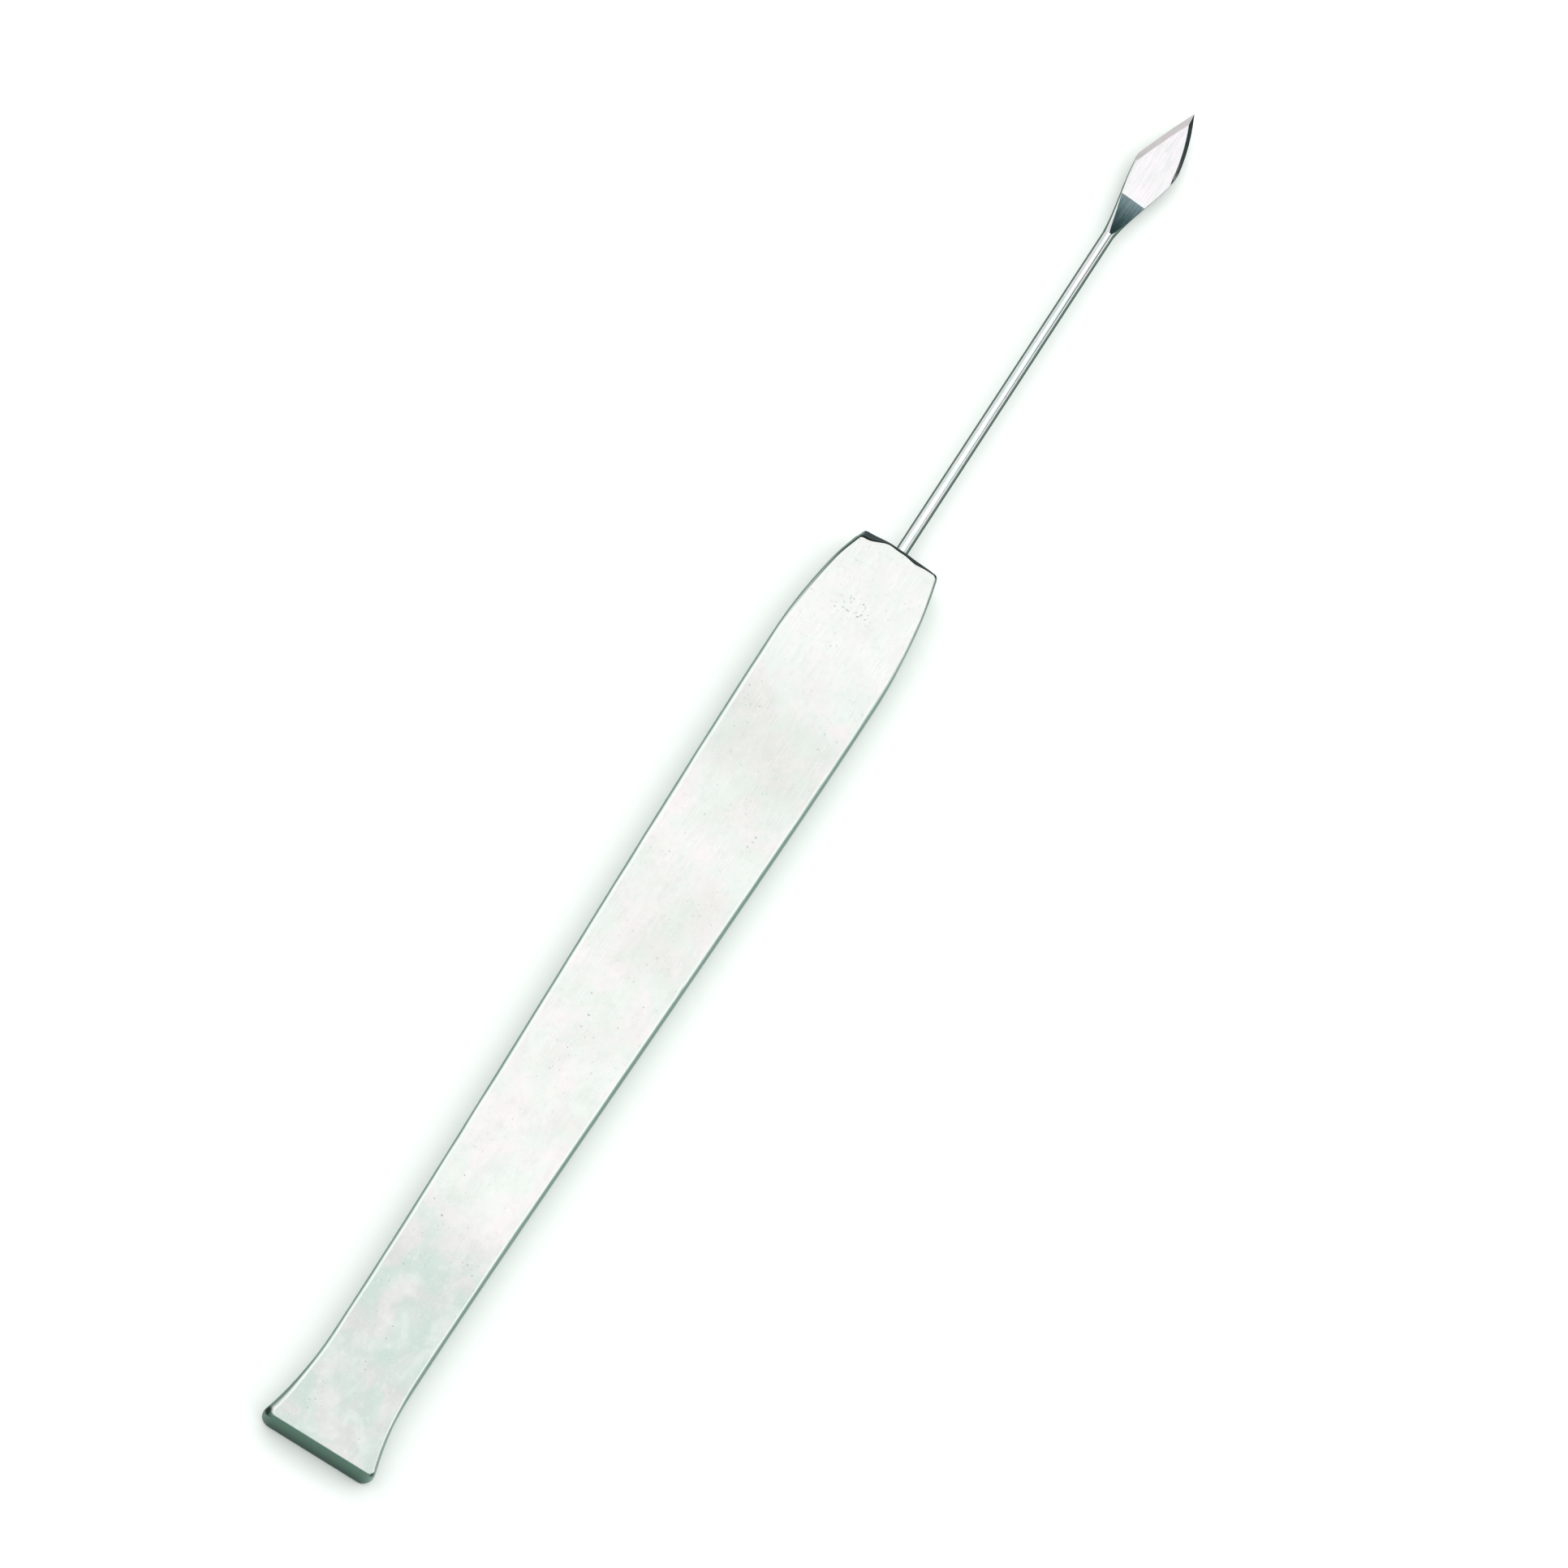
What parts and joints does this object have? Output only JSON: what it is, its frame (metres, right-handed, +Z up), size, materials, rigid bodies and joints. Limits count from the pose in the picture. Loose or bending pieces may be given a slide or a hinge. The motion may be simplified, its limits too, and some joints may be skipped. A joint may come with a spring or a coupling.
{
  "type": "spudger",
  "caption": "Slim metal spudger: a flat bar handle with a fishtail butt and a round steel needle ending in a lance-shaped blade, for prying and picking.",
  "frame": {"origin": "under the middle of the tool's whole length, on the plane of the handle's underside", "axes": "+Y along the tool from the butt towards the point, +Z up through the handle's thickness, +X to the right"},
  "size_m": [0.009, 0.127, 0.0025],
  "materials": {
    "handle_metal": "satin, brushed lengthwise, with fine pits and scratches; the edges are duller than the two faces",
    "needle_steel": "polished round shank; finely ground blade faces and bevels"
  },
  "bodies": {
    "root": {"handle": "handle_metal", "needle": "needle_steel"}
  },
  "joints": []
}
